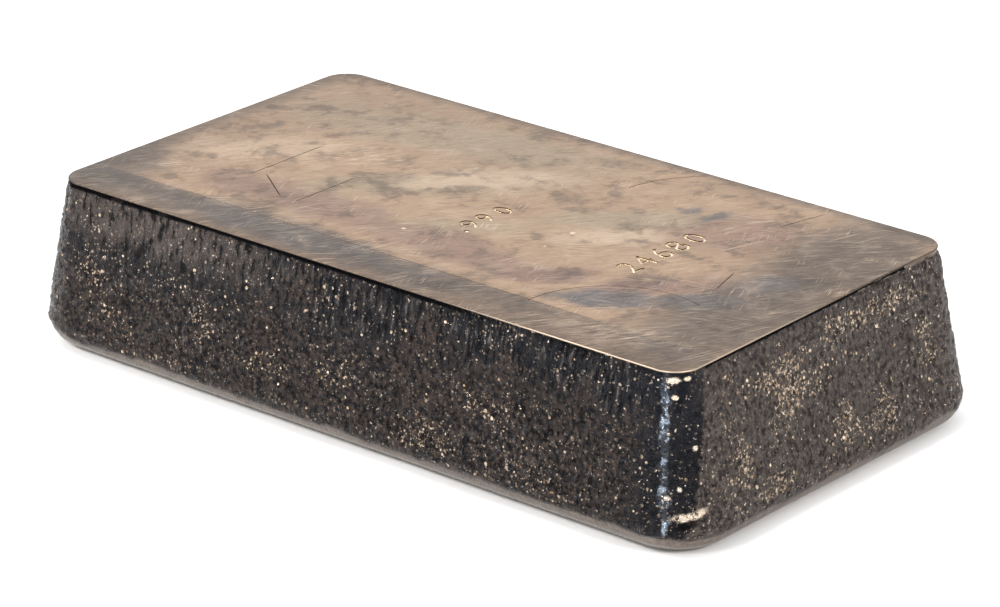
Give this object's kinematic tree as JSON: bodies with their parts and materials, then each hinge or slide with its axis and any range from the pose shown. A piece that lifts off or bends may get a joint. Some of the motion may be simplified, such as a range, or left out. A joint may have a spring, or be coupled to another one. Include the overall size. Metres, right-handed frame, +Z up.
{
  "type": "silver ingot",
  "caption": "Cast silver bar: tapered block with a flat stamped top face, drafted rough walls, rounded corners and a wide base with a soft rounded edge.",
  "frame": {"origin": "middle of the base, which is the wide face it lies on", "axes": "+X along the length, +Y across the width, +Z up through the stamped face"},
  "size_m": [0.1688, 0.0932, 0.0352],
  "materials": {
    "toned_silver": "as cast and toned: dark grainy walls, smoother tan and grey top face"
  },
  "bodies": {
    "root": {"ingot": "toned_silver"}
  },
  "joints": []
}
